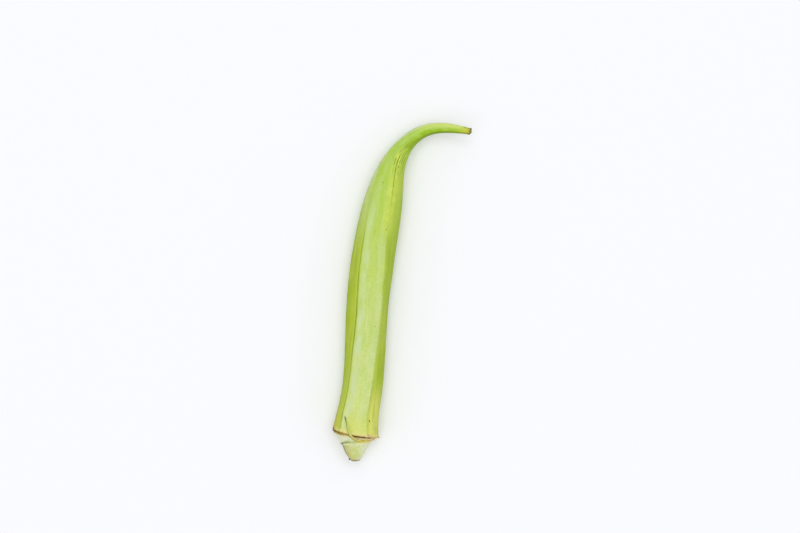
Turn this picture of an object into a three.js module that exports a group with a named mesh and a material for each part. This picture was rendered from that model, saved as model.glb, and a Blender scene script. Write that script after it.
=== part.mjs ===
// An okra pod as picked: a ribbed, tapering capsule whose neck hooks round to one side, with the cap and cut
// stalk it hung by, the torn rim of its fallen calyx and one thread-like bract. It lies on its lowest panel.
//
// Millimetres, +Z up, resting on z = 0. +Y runs from the stalk towards the hook and +X is the side that the
// hook turns to. Every piece is turned on a straight axis as a lathe blank, ribbed, and bent along the pod's
// own axis. A "station" is the distance along that axis from the joint between the pod and its cap: positive
// towards the tip, negative towards the cut stalk. An "angle" runs clockwise from the top, seen from the stalk.
import * as THREE from "three";

// ---- How the axis lies: its plan, from the cut end of the stalk to the tip ----
const STALK_PLAN = [[-0.25, -11.2], [-0.4, -7.4], [-0.35, -3.6], [0, 0]];
const POD_PLAN = [
  [[0, 0], [0.4, 7], [2.5, 15.5], [3.2, 22.5]],
  [[3.2, 22.5], [4, 30.5], [4.5, 45], [5.4, 56.1]],
  [[5.4, 56.1], [6.8, 73.1], [10.2, 91.9], [13.2, 105.2]],
  [[13.2, 105.2], [15.5, 115.4], [21.8, 127], [33.3, 128.2]],
  [[33.3, 128.2], [38.3, 128.7], [43.9, 127.8], [48.8, 126.8]],
];
const AXIS_PLAN = new THREE.CurvePath();
for (const corners of [STALK_PLAN, ...POD_PLAN]) {
  AXIS_PLAN.add(new THREE.CubicBezierCurve(...corners.map(([x, y]) => new THREE.Vector2(x, y))));
}
const STALK_LENGTH = AXIS_PLAN.curves[0].getLength(); // from the joint to the cut end
const POD_LENGTH = AXIS_PLAN.getLength() - STALK_LENGTH; // from the joint to the blunt tip

// [station, height of the axis]: it rests on the flare and on the belly, and the tip stands off the table.
const AXIS_HEIGHT = smoothThrough([
  [-STALK_LENGTH, 9.2],
  [0, 8.7],
  [5, 8.1],
  [14, 7.55],
  [38, 7.5],
  [62, 7.75],
  [86, 7.85],
  [118, 8.4],
  [POD_LENGTH, 9.9],
]);
// [station, degrees that a section leans off square to the axis]: the calyx grew slanted.
const SECTION_SLANT = smoothThrough([
  [-8, 0],
  [-4, 1.5],
  [0, 7],
  [6, 4],
  [14, 0],
]);

// ---- Pod ----
const RIDGE_ANGLES = [-36, 36, 96, 150, 210, 264]; // degrees; the 150 to 210 panel is the one it lies on
const RIDGE_RADIUS = smoothThrough([
  // [station, half width over the ridges]: flared at the joint, a slight waist, the belly, then the neck
  [0, 9.95],
  [4, 9.35],
  [13, 8.5],
  [38, 8.5],
  [60, 8.85],
  [84, 8.9],
  [98, 8.2],
  [112, 5.85],
  [126, 3.45],
  [138, 2.4],
  [POD_LENGTH, 1.3],
]);
const PANEL_FLATNESS = smoothThrough([
  // [station, 0 for a round section to 1 for flat panels between the ridges]
  [-8, 0.05],
  [0, 0.7],
  [95, 0.75],
  [125, 0.4],
  [POD_LENGTH, 0.15],
]);
const RIDGE_TWIST = smoothThrough([
  // [station, degrees that the ridges have turned about the axis]
  [0, -4],
  [12, -7],
  [30, -2],
  [50, 7],
  [68, 4],
  [88, -3],
  [106, -5],
  [120, -20],
  [132, 0],
  [POD_LENGTH, 0],
]);

// ---- Cap and stalk ----
const CAP_RADIUS = smoothThrough([
  // [station, half width]: the cap's cone, the ledge where the bracts grew, then the stalk's rounded cut end
  [-STALK_LENGTH, 1.9],
  [-10.6, 2.9],
  [-8.8, 3.85],
  [-6.2, 4.75],
  [-4.3, 5.75],
  [-3.9, 6.35],
  [-3.4, 6.35],
  [-2.6, 6.9],
  [-1.2, 8.35],
  [0, 9.6],
]);

// ---- Joint between pod and cap, and the torn calyx rim seated in a groove around it ----
const CLEARANCE = 0.3; // between neighbouring pieces
const GROOVE_RADIUS = 8.8; // floor of the groove
const GROOVE_HALF_HEIGHT = 0.65;
const RIM_RADIUS = 10.15; // outer edge of the torn rim
const RIM_HALF_HEIGHT = GROOVE_HALF_HEIGHT - CLEARANCE;

// ---- Bract: [angle, station, lift off the surface], from its root on the cap's ledge to its free end ----
const BRACT_ROUTE = [
  [62, -2.5, 0.6],
  [35, -2.7, 0.85],
  [8, -2.5, 1],
  [-9, -1.4, 1.15],
  [-14, 0, 1.1],
  [-24, 3, 0.75],
  [-33, 7.2, 0.6],
];
const BRACT_HALF_WIDTH = 0.5; // at its root, tapering to the tip
const BRACT_HALF_THICKNESS = 0.25;

// ---- How finely the surface is faceted ----
const COLUMNS_PER_PANEL = 7;
const COLUMNS = RIDGE_ANGLES.length * COLUMNS_PER_PANEL;
const POD_ROWS = 58;
const STALK_ROWS = 16;
const BRACT_COLUMNS = 8;
const BRACT_ROWS = 22;

// A smooth function through [x, value] knots: cubic pieces with Catmull-Rom slopes, level beyond the ends.
function smoothThrough(knots) {
  const slope = (i) => {
    const [x0, y0] = knots[Math.max(i - 1, 0)];
    const [x1, y1] = knots[Math.min(i + 1, knots.length - 1)];
    return (y1 - y0) / (x1 - x0);
  };
  return (x) => {
    if (x <= knots[0][0]) return knots[0][1];
    if (x >= knots.at(-1)[0]) return knots.at(-1)[1];
    const i = knots.findIndex((knot) => knot[0] > x) - 1;
    const [x0, y0] = knots[i];
    const [x1, y1] = knots[i + 1];
    const span = x1 - x0;
    const t = (x - x0) / span;
    const bend0 = slope(i) * span;
    const bend1 = slope(i + 1) * span;
    return (
      y0 + t * bend0 +
      t * t * (3 * (y1 - y0) - 2 * bend0 - bend1) +
      t * t * t * (2 * (y0 - y1) + bend0 + bend1)
    );
  };
}

// The panel that an angle lies in: its two ridge angles, in degrees, the second one above the first.
function panelAt(angle) {
  const turned = THREE.MathUtils.euclideanModulo(angle - RIDGE_ANGLES[0], 360) + RIDGE_ANGLES[0];
  const after = RIDGE_ANGLES.findIndex((ridge) => ridge > turned);
  const next = after < 0 ? RIDGE_ANGLES[0] + 360 : RIDGE_ANGLES[after];
  const last = after < 0 ? RIDGE_ANGLES.at(-1) : RIDGE_ANGLES[after - 1];
  return { turned, last, next };
}

// Share of the ridge radius at an angle: 1 on the ridges, less across a flattened panel.
function ribShare(angle, flatness) {
  const { turned, last, next } = panelAt(angle);
  const halfSpan = THREE.MathUtils.degToRad((next - last) / 2);
  const offMiddle = THREE.MathUtils.degToRad(turned - (next + last) / 2);
  return 1 - flatness * (1 - Math.cos(halfSpan) / Math.cos(offMiddle));
}

// Axis point and sideways direction at a station. Sections stand upright, so "up" is always +Z.
function axisAt(station) {
  const share = (station + STALK_LENGTH) / (POD_LENGTH + STALK_LENGTH);
  const along = THREE.MathUtils.clamp(share, 0, 1);
  const point = AXIS_PLAN.getPoint(along);
  const heading = AXIS_PLAN.getTangent(along);
  const lean = THREE.MathUtils.degToRad(SECTION_SLANT(station));
  const side = heading.rotateAround(new THREE.Vector2(), -Math.PI / 2 - lean);
  return {
    centre: new THREE.Vector3(point.x, point.y, AXIS_HEIGHT(station)),
    side: new THREE.Vector3(side.x, side.y, 0),
  };
}

// A ribbed, bent point for a station, an angle in degrees before the twist, and a ridge radius there.
function placed(angle, radius, station) {
  const { centre, side } = axisAt(station);
  const reach = radius * ribShare(angle, PANEL_FLATNESS(station));
  const turned = THREE.MathUtils.degToRad(angle + RIDGE_TWIST(station));
  const point = centre.addScaledVector(side, reach * Math.sin(turned));
  point.z = Math.max(point.z + reach * Math.cos(turned), 0); // flattened where it rests on the table
  return point;
}

// A lathe blank turned on Y from an outline of [radius, station], then ribbed and bent along the axis.
function turnAndBend(outline) {
  const blank = new THREE.LatheGeometry(outline.map(([r, s]) => new THREE.Vector2(r, s)), COLUMNS);
  const position = blank.attributes.position;
  const vertex = new THREE.Vector3();
  for (let i = 0; i < position.count; i++) {
    vertex.fromBufferAttribute(position, i);
    // Columns are dealt out evenly to the panels, so that one falls on each ridge.
    const turn = THREE.MathUtils.euclideanModulo(Math.atan2(vertex.x, vertex.z) / (2 * Math.PI), 1);
    const panel = Math.min(Math.floor(turn * RIDGE_ANGLES.length), RIDGE_ANGLES.length - 1);
    const across = turn * RIDGE_ANGLES.length - panel;
    const next = RIDGE_ANGLES[panel + 1] ?? RIDGE_ANGLES[0] + 360;
    const angle = THREE.MathUtils.lerp(RIDGE_ANGLES[panel], next, across);
    const point = placed(angle, Math.hypot(vertex.x, vertex.z), vertex.y);
    position.setXYZ(i, point.x, point.y, point.z);
  }
  blank.computeVertexNormals();
  return blank;
}

// [radius, station] pairs down a profile function, both ends included.
function rows(profile, from, to, count) {
  return Array.from({ length: count + 1 }, (_, i) => {
    const station = THREE.MathUtils.lerp(from, to, i / count);
    return [profile(station), station];
  });
}

// The capsule: flat where it meets the cap, a groove for the rim, the ribbed body, and a dimpled blunt tip.
function podGeometry() {
  const tipRadius = RIDGE_RADIUS(POD_LENGTH);
  return turnAndBend([
    [0, CLEARANCE / 2],
    [GROOVE_RADIUS, CLEARANCE / 2],
    [GROOVE_RADIUS, GROOVE_HALF_HEIGHT],
    ...rows(RIDGE_RADIUS, GROOVE_HALF_HEIGHT, POD_LENGTH, POD_ROWS),
    [tipRadius * 0.7, POD_LENGTH + 0.35],
    [tipRadius * 0.3, POD_LENGTH + 0.1],
    [0, POD_LENGTH - 0.1],
  ]);
}

// Cap and stalk in one: the rounded cut end, the bract ledge, the cone and the other half of the groove.
function stalkGeometry() {
  return turnAndBend([
    [0, -STALK_LENGTH],
    ...rows(CAP_RADIUS, -STALK_LENGTH, -GROOVE_HALF_HEIGHT, STALK_ROWS),
    [GROOVE_RADIUS, -GROOVE_HALF_HEIGHT],
    [GROOVE_RADIUS, -CLEARANCE / 2],
    [0, -CLEARANCE / 2],
  ]);
}

// The dry rim left all round by the calyx: a wedge-shaped band that thins towards its outer edge.
function calyxRimGeometry() {
  const innerRadius = GROOVE_RADIUS + CLEARANCE;
  return turnAndBend([
    [innerRadius, -RIM_HALF_HEIGHT],
    [RIM_RADIUS, -0.2],
    [RIM_RADIUS, 0.15],
    [innerRadius, RIM_HALF_HEIGHT],
    [innerRadius, -RIM_HALF_HEIGHT],
  ]);
}

// Where the bract's route runs, as points just off the surface of the cap and the pod.
function bractPath() {
  const surface = (station) => (station < 0 ? CAP_RADIUS(station) : RIDGE_RADIUS(station));
  const points = BRACT_ROUTE.map(([angle, station, lift]) =>
    placed(angle - RIDGE_TWIST(station), surface(station) + lift, station),
  );
  return new THREE.CatmullRomCurve3(points);
}

// A flat strand that tapers from its root to a point, turned as a slim spindle and bent along its path.
function bractGeometry() {
  const path = bractPath();
  const halfWidth = (t) => BRACT_HALF_WIDTH * (0.35 + 0.65 * (1 - t)) * Math.min(1, 6 * (1 - t) + 0.15);
  const outline = Array.from({ length: BRACT_ROWS + 1 }, (_, i) => {
    const t = i / BRACT_ROWS;
    return new THREE.Vector2(halfWidth(t), t);
  });
  outline.unshift(new THREE.Vector2(0, 0));
  outline.push(new THREE.Vector2(0, 1));
  const strand = new THREE.LatheGeometry(outline, BRACT_COLUMNS);
  const position = strand.attributes.position;
  const vertex = new THREE.Vector3();
  for (let i = 0; i < position.count; i++) {
    vertex.fromBufferAttribute(position, i);
    const point = path.getPointAt(vertex.y);
    const heading = path.getTangentAt(vertex.y);
    const out = new THREE.Vector3(0, 0, 1).addScaledVector(heading, -heading.z).normalize();
    const across = new THREE.Vector3().crossVectors(heading, out);
    point.addScaledVector(across, vertex.x);
    point.addScaledVector(out, (vertex.z * BRACT_HALF_THICKNESS) / BRACT_HALF_WIDTH);
    position.setXYZ(i, point.x, point.y, point.z);
  }
  strand.computeVertexNormals();
  return strand;
}

function piece(name, geometry, color, roughness) {
  const mesh = new THREE.Mesh(geometry, new THREE.MeshStandardMaterial({ color, roughness, metalness: 0 }));
  mesh.name = name;
  return mesh;
}

const okra = new THREE.Group();
okra.add(
  piece("pod", podGeometry(), "#bbd36c", 0.55),
  piece("stalk", stalkGeometry(), "#cdd39a", 0.6),
  piece("calyx_rim", calyxRimGeometry(), "#94662f", 0.85),
  piece("bract", bractGeometry(), "#c2c763", 0.65),
);

// The origin is the middle of the footprint, on the table.
const bounds = new THREE.Box3().setFromObject(okra);
const middle = bounds.getCenter(new THREE.Vector3());
okra.position.set(-middle.x, -middle.y, 0);

const part = new THREE.Group();
part.add(okra);

export default part;
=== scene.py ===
"""The looks of an okra pod as picked, lying on a pale table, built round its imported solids.

Everything is in the frame of the solids: +Z up from the table, +Y from the cut stalk towards the hooked neck
and +X to the side that the tip points to. Shapes are given in millimetres and become metres in the meshes.

The pod and what belongs to it follow one bent axis. A station is the distance along that axis from the joint
of pod and cap, positive towards the tip and negative towards the cut end of the stalk. An angle runs
clockwise from the top, seen from the stalk, in degrees.
"""

import math
from functools import partial

import bmesh
import bpy
import numpy as np
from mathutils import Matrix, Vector


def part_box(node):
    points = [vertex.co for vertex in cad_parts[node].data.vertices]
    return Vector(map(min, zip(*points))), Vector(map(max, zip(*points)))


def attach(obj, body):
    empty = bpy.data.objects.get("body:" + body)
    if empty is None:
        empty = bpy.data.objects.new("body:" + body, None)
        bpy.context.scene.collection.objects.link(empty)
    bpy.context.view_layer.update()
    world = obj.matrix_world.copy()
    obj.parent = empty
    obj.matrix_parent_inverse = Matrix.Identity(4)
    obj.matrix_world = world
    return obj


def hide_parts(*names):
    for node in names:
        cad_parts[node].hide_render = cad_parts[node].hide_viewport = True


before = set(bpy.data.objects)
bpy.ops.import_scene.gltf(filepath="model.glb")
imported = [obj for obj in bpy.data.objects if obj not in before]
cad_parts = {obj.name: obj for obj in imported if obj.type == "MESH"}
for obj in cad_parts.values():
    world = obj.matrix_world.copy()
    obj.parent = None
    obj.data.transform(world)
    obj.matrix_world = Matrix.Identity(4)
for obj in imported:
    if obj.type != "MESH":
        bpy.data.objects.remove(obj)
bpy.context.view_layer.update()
MM = 0.001

# ---- The camera, straight above the table ----
VIEW_WIDTH = 336  # mm that the frame's long side takes in, at the height of the pod's axis
VIEW_STATION = 40  # the station that this height is taken at
VIEW_CENTRE = (-0.9, 10.5)  # mm, the point under the middle of the frame
LENS = 85  # mm
SENSOR = 36  # mm

TABLE_SIZE = 6  # m

# ---- How the axis lies: its plan, from the cut end of the stalk to the tip ----
AXIS_PLAN = [
    [(0.2, -11.2), (0, -7.4), (-0.2, -3.6), (0, 0)],
    [(0, 0), (0.4, 7), (2.5, 15.5), (3.2, 22.5)],
    [(3.2, 22.5), (4, 30.5), (4.5, 45), (5.4, 56.1)],
    [(5.4, 56.1), (6.8, 73.1), (10.2, 91.9), (13.2, 105.2)],
    [(13.2, 105.2), (15.5, 115.4), (21.8, 127.1), (33.3, 128.35)],
    [(33.3, 128.35), (38.3, 128.9), (43.9, 127.95), (48.8, 126.85)],
]

# ---- The pod ----
RIDGE_ANGLES = [-36, 36, 96, 150, 210, 264]
PANELS = list(zip(RIDGE_ANGLES, RIDGE_ANGLES[1:] + [RIDGE_ANGLES[0] + 360]))
SIDE_RIB_ANGLE = 62  # a short extra rib, on the flare only
PINCH_REACH = 72  # degrees either side of the top within which the top panel can be pinched
TIP_SIDE_SLANT = 0.25  # how much the dried end slants to the right, as a share of its slant towards the top
WANDER_SIZE = 9  # mm, of the bends that the ridge lines wander in
POD_ROWS = 468  # rows down the pod's sides
STALK_ROWS = 120  # rows down the stalk and the cap
WELD = 0.002  # mm within which the points of a skin's seam and ends become one

# ---- Strands, bristles and pegs ----
STRAND_STEP = 0.22  # mm between the rows of a strand
STRAND_ROWS = 12  # the fewest rows of a strand
WAVE_TURN = 1.1  # radians of a strand's waves for each mm of its length
HAIR_TAPER = 0.25  # a bristle's thickness at its tip, as a share of that at its root
LUMP_SIZE = 0.6  # mm, of the lumps on a peg

# Where pieces belong: the name of their slot, and the solid that they replace.
POD = ("pod_skin", "pod")
STALK = ("stalk_skin", "stalk")
RIM = ("dry_calyx", "calyx_rim")
BRACT = ("bract_skin", "bract")


# ======== Curves and places ========


def smooth_through(knots):
    """A smooth function through (x, value) knots: cubics with Catmull-Rom slopes, level beyond the ends."""
    xs, ys = np.array(knots, float).T
    last = np.maximum(np.arange(len(xs)) - 1, 0)
    next_ = np.minimum(np.arange(len(xs)) + 1, len(xs) - 1)
    slopes = (ys[next_] - ys[last]) / (xs[next_] - xs[last])

    def value(x):
        x = np.clip(x, xs[0], xs[-1])
        i = np.clip(np.searchsorted(xs, x, side="right") - 1, 0, len(xs) - 2)
        span = xs[i + 1] - xs[i]
        t = (x - xs[i]) / span
        rise = ys[i + 1] - ys[i]
        bend0 = slopes[i] * span
        bend1 = slopes[i + 1] * span
        return ys[i] + t * bend0 + t**2 * (3 * rise - 2 * bend0 - bend1) + t**3 * (bend0 + bend1 - 2 * rise)

    return value


def bezier_path(pieces, steps=300):
    """Points along joined cubic Bezier pieces, the distance run at each, and each piece's length."""
    t = np.linspace(0, 1, steps)[:, None]
    weights = ((1 - t) ** 3, 3 * t * (1 - t) ** 2, 3 * t**2 * (1 - t), t**3)
    strokes = [sum(w * np.array(corner) for w, corner in zip(weights, piece)) for piece in pieces]
    lengths = [float(np.hypot(*np.diff(stroke, axis=0).T).sum()) for stroke in strokes]
    points = np.vstack([strokes[0]] + [stroke[1:] for stroke in strokes[1:]])
    run = np.concatenate([[0], np.cumsum(np.hypot(*np.diff(points, axis=0).T))])
    return points, run, lengths


PATH, RUN, PIECE_LENGTHS = bezier_path(AXIS_PLAN)
STALK_LENGTH = PIECE_LENGTHS[0]
POD_LENGTH = RUN[-1] - STALK_LENGTH
TIP = POD_LENGTH - 0.9  # the station of the dried end, a little short of the axis's

AXIS_HEIGHT = smooth_through(
    [(-STALK_LENGTH, 9.2), (0, 8.7), (5, 8.1), (14, 7.55), (38, 7.5), (62, 7.75), (86, 7.85), (118, 8.4)]
    + [(POD_LENGTH, 9.9)]
)
SECTION_SLANT = smooth_through([(-8, 0), (-4, 1.5), (0, 7), (6, 4), (14, 0)])
RIDGE_RADIUS = smooth_through(
    [(0, 9.95), (4, 9.35), (13, 8.5), (38, 8.5), (60, 8.85), (84, 8.9), (98, 8.2), (112, 5.85), (126, 3.45)]
    + [(138, 2.38), (146, 1.95), (POD_LENGTH, 1.3)]
)
PANEL_FLATNESS = smooth_through(
    [(-8, 0.05), (0, 0.7), (84, 0.72), (104, 0.45), (120, 0.25), (POD_LENGTH, 0.15)]
)
PANEL_PINCH = smooth_through([(70, 0), (90, 5), (106, 6), (120, 2), (130, 0)])
RIDGE_TWIST = smooth_through(
    [(0, -4), (12, -7), (30, -2), (50, 7), (68, 4), (88, -3), (106, -5), (120, -20), (132, 0)]
    + [(POD_LENGTH, 0)]
)
CAP_RADIUS = smooth_through(
    [(-STALK_LENGTH, 1.7), (-10.2, 2.5), (-9.3, 3.05), (-8.1, 3.77), (-6.9, 4.34), (-6, 4.77), (-4.3, 5.75)]
    + [(-3.9, 6.35), (-3.4, 6.35), (-2.6, 6.9), (-1.2, 8.35), (0, 9.6)]
)

# The joint's uneven line: its sways, each (mm forward, angle, width in degrees), and how they fade off it.
SWAYS = [(-0.15, 6, 18), (0.3, 38, 18), (0.45, 102, 24)]
JOINT_SWAY = smooth_through([(-5, 0), (-2.5, 0.7), (-0.5, 1), (1, 1), (4, 0.5), (9, 0)])
TIP_SLANT = smooth_through([(TIP - 5, 0), (TIP - 0.5, 0.4), (TIP, 0.4)])

JOINT = np.zeros(2)  # where the joint's middle lies in the frame; found below


def axis_at(station):
    """The axis points and sideways directions at stations, in mm, as rows. Past its ends it goes straight."""
    station = np.atleast_1d(np.asarray(station, float))
    run = station + STALK_LENGTH
    nudge = 0.05
    near = np.clip(run, nudge, RUN[-1] - nudge)
    plan, ahead, behind = (
        np.stack([np.interp(at, RUN, PATH[:, k]) for k in (0, 1)], axis=1)
        for at in (run, near + nudge, near - nudge)
    )
    heading = np.arctan2(*(ahead - behind).T) + np.radians(SECTION_SLANT(station))
    past = run - np.clip(run, 0, RUN[-1])
    forward = np.column_stack([np.sin(heading), np.cos(heading)])
    centre = np.column_stack([plan + JOINT + forward * past[:, None], AXIS_HEIGHT(station)])
    side = np.column_stack([np.cos(heading), -np.sin(heading), np.zeros_like(heading)])
    return centre, side


def rib_share(angle, flatness):
    """Share of the ridge radius at an angle: 1 on the ridges, less across a flattened panel."""
    share = 1.0
    for low, high in PANELS:
        off = math.remainder(angle - (low + high) / 2, 360)
        half = (high - low) / 2
        if abs(off) <= half:
            share = math.cos(math.radians(half)) / math.cos(math.radians(off))
    return 1 + flatness * (share - 1)


def turned_at(angle, station):
    """How far the skin is turned at an angle and a station, in degrees: the twist less the top's pinch."""
    near = min(max(math.remainder(angle, 360), -PINCH_REACH), PINCH_REACH)
    return RIDGE_TWIST(station) - PANEL_PINCH(station) * math.sin(math.pi * near / PINCH_REACH)


def surface_radius(station):
    """The radius over the ridges of the cap or the pod, whichever is at the station."""
    return CAP_RADIUS(station) if station < 0 else RIDGE_RADIUS(station)


def on_skin(angle, station, radius=None):
    """A point of the ribbed and bent surface in mm, with its outward and forward directions."""
    if radius is None:
        radius = surface_radius(station)
    centre, side = (rows[0] for rows in axis_at(station))
    reach = radius * rib_share(angle, PANEL_FLATNESS(station))
    turned = math.radians(angle + turned_at(angle, station))
    out = side * math.sin(turned) + np.array([0, 0, math.cos(turned)])
    forward = np.array([-side[1], side[0], 0])
    sway = sum(size * math.exp(-(((angle - middle) / width) ** 2)) for size, middle, width in SWAYS)
    tipped = math.cos(math.radians(angle)) + TIP_SIDE_SLANT * math.sin(math.radians(angle))
    slid = JOINT_SWAY(station) * sway - TIP_SLANT(station) * radius * tipped
    point = centre + out * reach + forward * slid
    point[2] = max(point[2], 0)
    return point, out, forward


# The pod, laid out from the joint, is brought to where the solid pod lies: its flare gives the low corner.
FLARE_RINGS = [(0.15, 8.8), (0.65,), (1.5,), (3,)]  # station, and a radius where it isn't the ridges' own
FLARE = np.array([on_skin(angle, *ring)[0] for ring in FLARE_RINGS for angle in range(0, 360, 6)])
JOINT = np.array(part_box("pod")[0])[:2] / MM - FLARE.min(axis=0)[:2]


# ======== Nodes ========


def colour(hex_text):
    """An sRGB hex colour as linear red, green, blue and alpha."""
    parts = [int(hex_text[i : i + 2], 16) / 255 for i in (1, 3, 5)]
    return [c / 12.92 if c <= 0.04045 else ((c + 0.055) / 1.055) ** 2.4 for c in parts] + [1.0]


class Weave:
    """A node tree in the making, with the shares that its patterns are woven of. A share runs from 0 to 1."""

    def __init__(self, tree):
        self.tree = tree

    def add(self, kind, *inputs, **settings):
        """Adds a node with its settings and links, and returns it.

        A kind goes without its family, and one in capitals is an operation of the Math node. Inputs go by
        position, or by name in one dict: sockets and nodes are linked and values are set. The setting "stops"
        gives a colour ramp its (position, colour) pairs."""
        if kind.isupper():
            kind, settings = "Math", settings | {"operation": kind}
        kinds = [family + kind for family in ("ShaderNode", "GeometryNode", "FunctionNode", "Node")]
        node = self.tree.nodes.new(next(full for full in kinds if hasattr(bpy.types, full)))
        for name, value in settings.items():
            if name != "stops":
                setattr(node, name, value)
                continue
            elements = node.color_ramp.elements
            while len(elements) < len(value):
                elements.new(1.0)
            for element, (position, tone) in zip(elements, value):
                element.position = position
                element.color = tone
        sockets = [socket for socket in node.inputs if socket.enabled]
        pairs = zip(sockets, inputs)
        if inputs and isinstance(inputs[0], dict):
            by_name = {socket.name: socket for socket in reversed(sockets)}
            pairs = [(by_name[name], value) for name, value in inputs[0].items()]
        for socket, value in pairs:
            if isinstance(value, bpy.types.Node):
                value = next(output for output in value.outputs if output.enabled)
            if isinstance(value, bpy.types.NodeSocket):
                self.tree.links.new(value, socket)
            else:
                socket.default_value = value
        return node

    def chain(self, operation, *values):
        """One operation through all the values, from left to right."""
        total = values[0]
        for value in values[1:]:
            total = self.add(operation, total, value)
        return total

    def times(self, *values):
        """The product of all the values."""
        return self.chain("MULTIPLY", *values)

    def share(self, value, *edges):
        """A share that goes smoothly from 0 at the first edge to 1 at the next, and back over two more."""
        rising = self.add("MapRange", value, *edges[:2], interpolation_type="SMOOTHSTEP")
        return self.times(rising, self.share(value, *edges[:1:-1])) if edges[2:] else rising

    def bell(self, value, width, middle=0):
        """A share of 1 at the middle, falling away on both sides over about the width."""
        ratio = self.add("DIVIDE", self.add("SUBTRACT", value, middle), width)
        return self.add("EXPONENT", self.times(ratio, ratio, -1))

    def clouds(self, place, size, detail=2, seed=0, stretch=1):
        """Cloudy values round 0.5, in clouds of a size and drawn out along the pod by the stretch."""
        if stretch != 1:
            squeeze = self.add("CombineXYZ", 1, self.add("DIVIDE", 1, stretch), 1)
            place = self.add("VectorMath", place, squeeze, operation="MULTIPLY")
        inputs = {"Vector": place, "W": seed, "Scale": self.add("DIVIDE", 1, size), "Detail": detail}
        return self.add("TexNoise", inputs, noise_dimensions="4D").outputs[0]

    def patches(self, place, size, low, high, detail=3, seed=0, stretch=1):
        """A share in patches of a size: 0 where its clouds are below low and 1 where they are above high."""
        return self.share(self.clouds(place, size, detail, seed, stretch), low, high)

    def layered(self, tone, *layers):
        """A tone under layers of colour, each (colour, shares to multiply), as hex text or nodes."""
        for over, *shares in layers:
            under, over = (colour(c) if isinstance(c, str) else c for c in (tone, over))
            tone = self.add("Mix", self.times(*shares), under, over, data_type="RGBA")
        return tone


# ---- Geometry trees ----


def geometry_tree(name, sizes, counts):
    """A new Geometry Nodes tree and its inputs, by name: geometry, sizes, counts and material."""
    tree = bpy.data.node_groups.new(name, "GeometryNodeTree")
    labels = [("Geometry", "Geometry")] + [(label, "Float") for label in sizes.split(", ")]
    labels += [(label, "Int") for label in counts.split(", ")] + [("Material", "Material")]
    for label, kind in labels:
        tree.interface.new_socket(label, in_out="INPUT", socket_type="NodeSocket" + kind)
    tree.interface.new_socket("Geometry", in_out="OUTPUT", socket_type="NodeSocketGeometry")
    w = Weave(tree)
    return w, w.add("GroupInput").outputs


def close_tree(w, geometry, material):
    """Ends a tree as the export needs it: real meshes, smooth, with their material."""
    real = w.add("RealizeInstances", geometry)
    smooth = w.add("SetShadeSmooth", real)
    painted = w.add("SetMaterial", {"Geometry": smooth, "Material": material})
    w.add("GroupOutput", painted)
    return w.tree


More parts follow.
